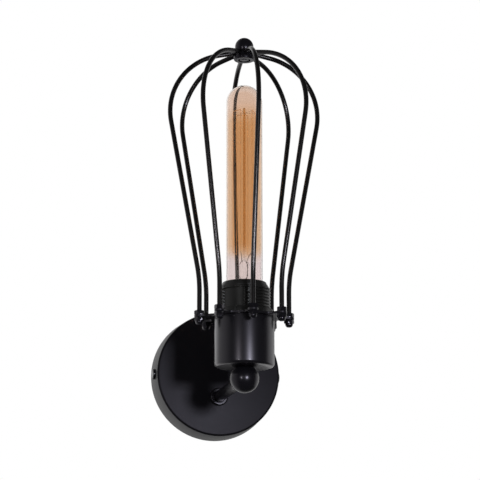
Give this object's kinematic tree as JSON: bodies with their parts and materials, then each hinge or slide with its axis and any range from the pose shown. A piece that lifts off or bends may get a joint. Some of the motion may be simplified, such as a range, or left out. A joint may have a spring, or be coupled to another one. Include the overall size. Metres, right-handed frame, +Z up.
{
  "type": "cage wall light",
  "caption": "Black wall light: a round canopy, a short arm with a ball, and a cup with a long tubular lamp inside a pear-shaped cage of bent wires.",
  "frame": {"origin": "centre of the canopy on the wall plane, between the two wall screws", "axes": "+Z up, +Y into the wall, +X to the right seen from the room; the arm stands out along -Y"},
  "size_m": [0.1222, 0.1861, 0.308],
  "materials": {
    "black_paint": "satin black",
    "zinc_steel": "zinc plated",
    "brass": "plain",
    "black_phenolic": "moulded, slightly glossy",
    "white_plastic": "moulded",
    "lead_sheath": "matt",
    "lamp_glass": "clear, amber tint",
    "stem_glass": "clear",
    "filament": "dark",
    "cap_metal": "nickel bright",
    "black_glass": "glossy black glass"
  },
  "bodies": {
    "wall_side": {"wall_bracket": "zinc_steel", "earth_screw": "brass", "earth_tag": "brass", "canopy": "black_paint", "canopy_side_screws": "black_paint", "terminal_block": "white_plastic", "terminal_block_screws": "zinc_steel", "terminal_fixing_screw": "zinc_steel", "stop_pin": "zinc_steel", "canopy_lead": "lead_sheath"},
    "head": {"arm_tube": "black_paint", "arm_collar": "black_paint", "arm_spring_washer": "zinc_steel", "arm_stop_washer": "zinc_steel", "arm_lock_nut": "zinc_steel", "swivel_ball": "black_paint", "head_nipple": "zinc_steel", "nipple_washer": "zinc_steel", "nipple_nut": "zinc_steel", "socket_cup": "black_paint", "holder_base": "black_phenolic", "holder_body": "black_phenolic", "holder_screw_shell": "brass", "shell_lug": "brass", "holder_centre_contact": "brass", "holder_terminals": "brass", "holder_terminal_screws": "brass", "head_lead": "lead_sheath", "holder_ring_nut": "black_phenolic", "cage_ring": "black_paint", "cage_upper_nuts": "black_paint", "cage_cap_nuts": "black_paint", "cage_hub": "black_paint", "hub_stud": "zinc_steel", "hub_washer": "black_paint", "hub_nut": "black_paint", "finial_ball": "black_paint", "cage_wire_1": "black_paint", "cage_wire_2": "black_paint", "cage_wire_3": "black_paint", "cage_wire_4": "black_paint", "cage_wire_5": "black_paint", "cage_wire_6": "black_paint", "cage_wire_7": "black_paint", "cage_wire_8": "black_paint"},
    "lamp_tip": {"bulb_insulator": "black_glass", "bulb_tip": "cap_metal"},
    "lamp": {"bulb_glass": "lamp_glass", "bulb_stem": "stem_glass", "bulb_filament": "filament", "bulb_supports": "filament", "bulb_cap": "cap_metal"}
  },
  "joints": [
    {"name": "arm_turn", "type": "hinge", "parent": "wall_side", "child": "head", "pos_m": [0, -0.0248, -0.019], "axis": [0, 1, 0], "range_deg": [-130, 180]},
    {"name": "lamp_lift", "type": "slide", "parent": "head", "child": "lamp_tip", "axis": [0, 0, 1], "range_m": [0, 0.01089]},
    {"name": "lamp_turn", "type": "hinge", "parent": "lamp_tip", "child": "lamp", "pos_m": [0, -0.125, 0.03], "axis": [0, 0, 1], "range_deg": [0, 1080]}
  ],
  "couplings": [
    {"joint": "lamp_lift", "follows": "lamp_turn", "m_per_rad": 0.00057757}
  ]
}
